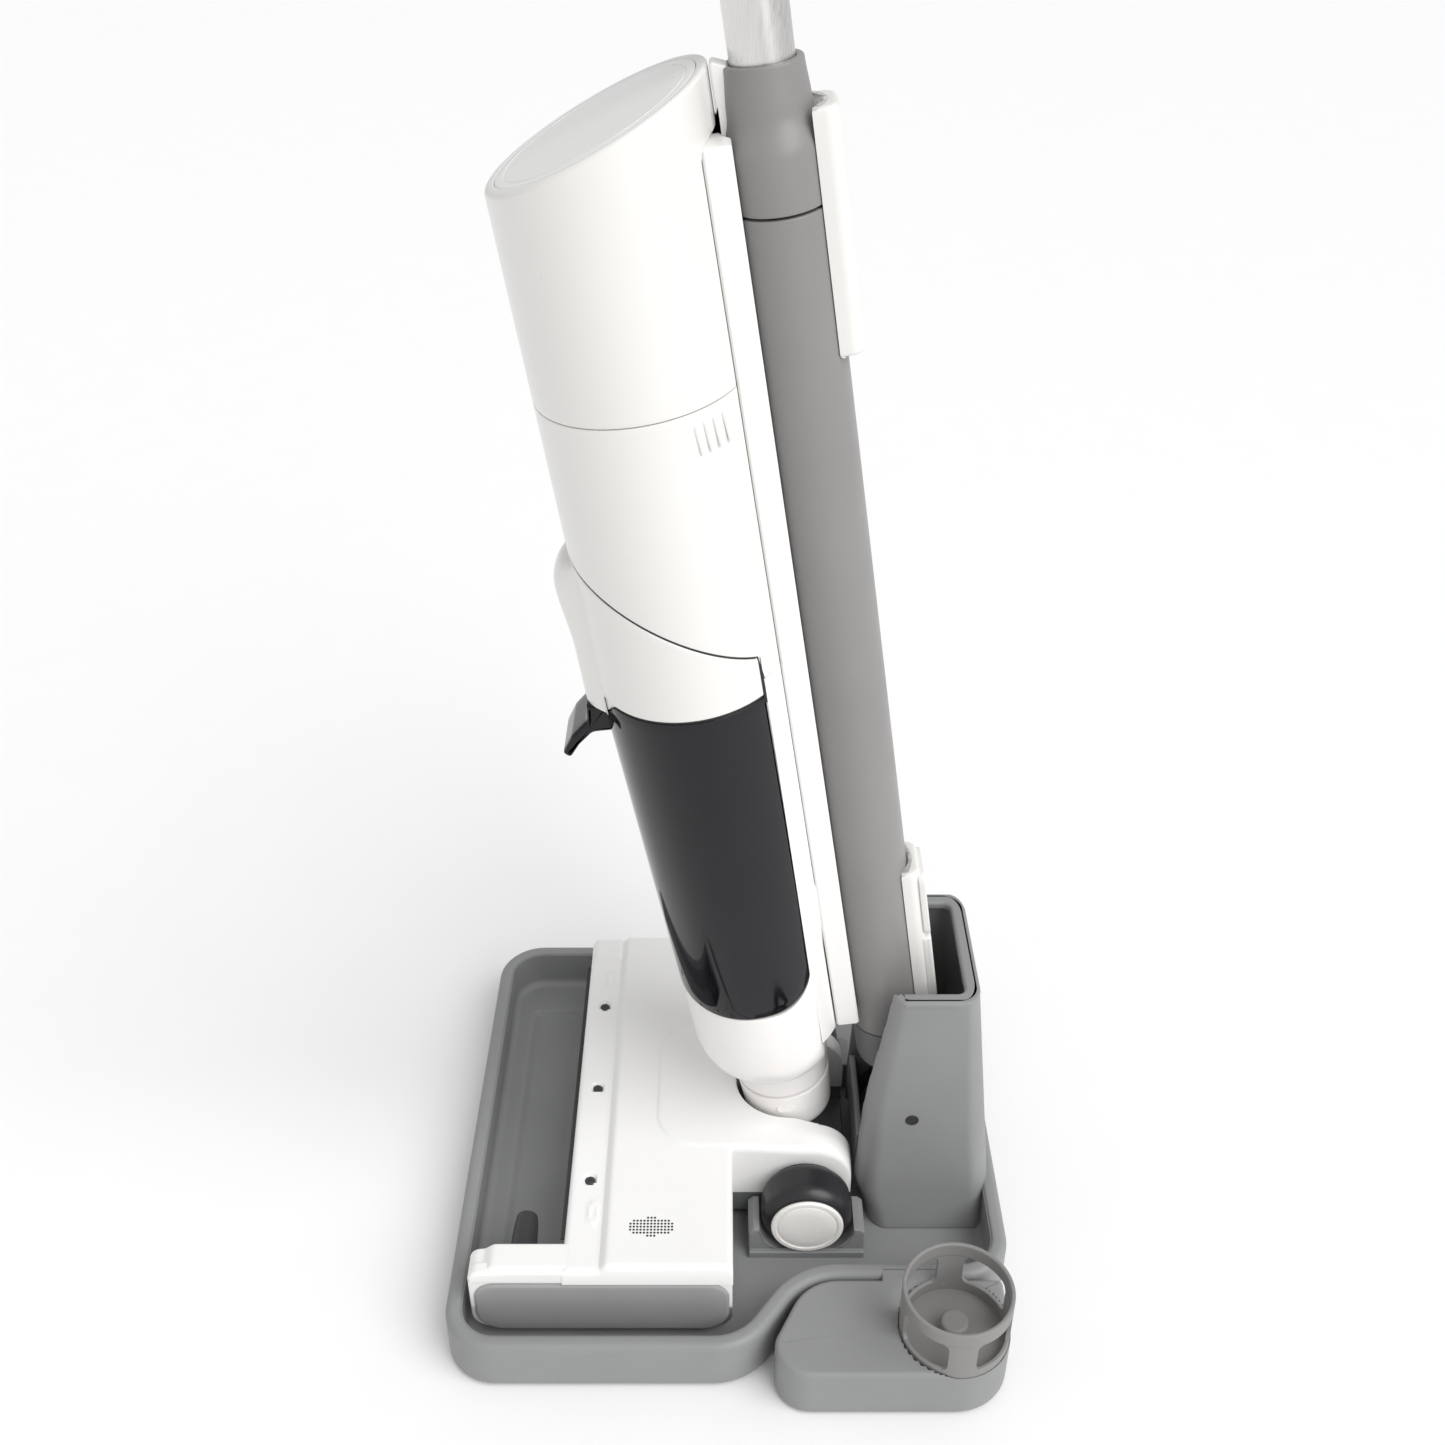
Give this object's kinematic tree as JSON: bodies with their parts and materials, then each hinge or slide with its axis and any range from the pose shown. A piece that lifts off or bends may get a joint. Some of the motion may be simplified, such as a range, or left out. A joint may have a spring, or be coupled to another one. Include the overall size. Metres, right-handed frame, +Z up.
{
  "type": "wet dry floor scrubber in its charging dock",
  "caption": "Upright wet and dry floor scrubber with round body, grey column and smoked recovery tank, docked in a charging tray with a drying ring",
  "frame": {"origin": "centre of the dock's middle foot pad, on the floor under the machine's mid-plane", "axes": "+Z up; -Y is the front, the roller end; +X is the machine's left side, the drive end"},
  "size_m": [0.351, 0.329, 1.1004],
  "materials": {
    "white_shell": "warm white moulded shell, soft gloss",
    "white_panel": "glossy white display window",
    "white_cap": "white hub cap with a groove ring",
    "dock_grey": "blue-grey fine textured moulding",
    "column_grey": "warm mid grey, satin",
    "foot_grey": "lighter grey, matte",
    "smoked_tank": "smoked translucent tank wall",
    "dark_plastic": "black moulding",
    "rubber": "soft black rubber",
    "tyre": "dark rubber tyre",
    "pole_aluminium": "brushed along its length",
    "steel": "plain steel",
    "contact_brass": "spring contacts",
    "board_green": "circuit board"
  },
  "bodies": {
    "dock": {"dock_tray": "dock_grey", "dock_feet": "rubber", "dock_tower": "dock_grey", "tower_screws": "steel", "wheel_cradles": "dock_grey", "charge_block": "dark_plastic", "charge_pins": "contact_brass", "power_inlet": "dark_plastic"},
    "holder": {"holder_base": "dock_grey", "holder_feet": "rubber", "ring_basket": "dock_grey"},
    "floor_head": {"head_cover": "white_shell", "head_chassis": "foot_grey", "drive_arm": "white_shell", "belt_case": "dark_plastic", "drive_motor": "steel", "end_plate_left": "column_grey", "end_plate_right": "column_grey", "chamber_liner": "dark_plastic", "suction_duct": "dark_plastic", "scraper": "rubber", "spray_bar": "dark_plastic", "squeegee": "rubber", "cover_screws": "steel", "pivot_pins": "steel", "wheel_axles": "steel"},
    "drive_hub": {"roller_drive_hub": "dark_plastic"},
    "left_wheel": {"left_tyre": "tyre", "left_hub": "dark_plastic", "left_cap": "white_cap"},
    "right_wheel": {"right_tyre": "tyre", "right_hub": "dark_plastic", "right_cap": "white_cap"},
    "neck": {"neck_cup": "white_shell", "neck_hose": "rubber"},
    "neck_button": {"neck_button": "white_shell"},
    "body": {"lower_housing": "white_shell", "can_lower_shell": "white_shell", "can_upper_shell": "white_shell", "display_panel": "white_panel", "spine_frame": "white_shell", "pole_collar": "column_grey", "column_foot": "foot_grey", "suction_motor": "steel", "motor_filter": "dark_plastic", "battery_pack": "dark_plastic", "control_board": "board_green", "water_pump": "dark_plastic", "pole": "pole_aluminium", "handle_sleeve": "white_shell", "handle_grip": "column_grey"},
    "power_button": {"power_button": "dark_plastic"},
    "self_clean_button": {"self_clean_button": "white_shell"},
    "recovery_tank": {"recovery_tank": "smoked_tank", "tank_standpipe": "dark_plastic", "tank_lid": "white_shell", "tank_seal": "rubber"},
    "clean_tank": {"clean_tank": "column_grey", "clean_tank_grip": "white_shell"},
    "clean_tank_latch": {"clean_tank_latch": "white_shell"}
  },
  "joints": [
    {"name": "machine_lift", "type": "slide", "parent": "dock", "child": "floor_head", "axis": [0, 0, 1], "range_m": [0, 0.43]},
    {"name": "body_recline", "type": "hinge", "parent": "floor_head", "child": "neck", "pos_m": [0, 0.052, 0.046], "axis": [-1, 0, 0], "range_deg": [0, 65]},
    {"name": "neck_swivel", "type": "hinge", "parent": "neck", "child": "body", "pos_m": [0, 0.03728, 0.08927], "axis": [0, -0.1513, 0.9885], "range_deg": [-6, 6]},
    {"name": "neck_button_press", "type": "slide", "parent": "neck", "child": "neck_button", "axis": [-1, 0, 0], "range_m": [0, 0.0015], "stiffness_N_per_m": 400},
    {"name": "left_wheel_spin", "type": "hinge", "parent": "floor_head", "child": "left_wheel", "pos_m": [0.069, 0.051, 0.0346], "axis": [1, 0, 0], "continuous": true},
    {"name": "right_wheel_spin", "type": "hinge", "parent": "floor_head", "child": "right_wheel", "pos_m": [-0.069, 0.051, 0.0346], "axis": [1, 0, 0], "continuous": true},
    {"name": "roller_drive_spin", "type": "hinge", "parent": "floor_head", "child": "drive_hub", "pos_m": [0.1, -0.117, 0.042], "axis": [1, 0, 0], "continuous": true},
    {"name": "recovery_tank_pull", "type": "slide", "parent": "body", "child": "recovery_tank", "axis": [0, -0.9885, -0.1513], "range_m": [0, 0.15]},
    {"name": "clean_tank_draw", "type": "slide", "parent": "body", "child": "clean_tank", "axis": [0, 0.9885, 0.1513], "range_m": [0, 0.012]},
    {"name": "clean_tank_latch_press", "type": "slide", "parent": "clean_tank", "child": "clean_tank_latch", "axis": [0, 0.1513, -0.9885], "range_m": [0, 0.003], "stiffness_N_per_m": 600, "springref_m": -0.0005},
    {"name": "power_button_press", "type": "slide", "parent": "body", "child": "power_button", "axis": [0, 0.9885, 0.1513], "range_m": [0, 0.0015], "stiffness_N_per_m": 400},
    {"name": "self_clean_button_press", "type": "slide", "parent": "body", "child": "self_clean_button", "axis": [0, 0.9885, 0.1513], "range_m": [0, 0.0015], "stiffness_N_per_m": 400},
    {"name": "holder_lift", "type": "slide", "parent": "dock", "child": "holder", "axis": [0, 0, 1], "range_m": [0, 0.06]}
  ],
  "couplings": [
    {"joint": "body_recline", "follows": "machine_lift", "rad_per_m": 2.6383}
  ]
}
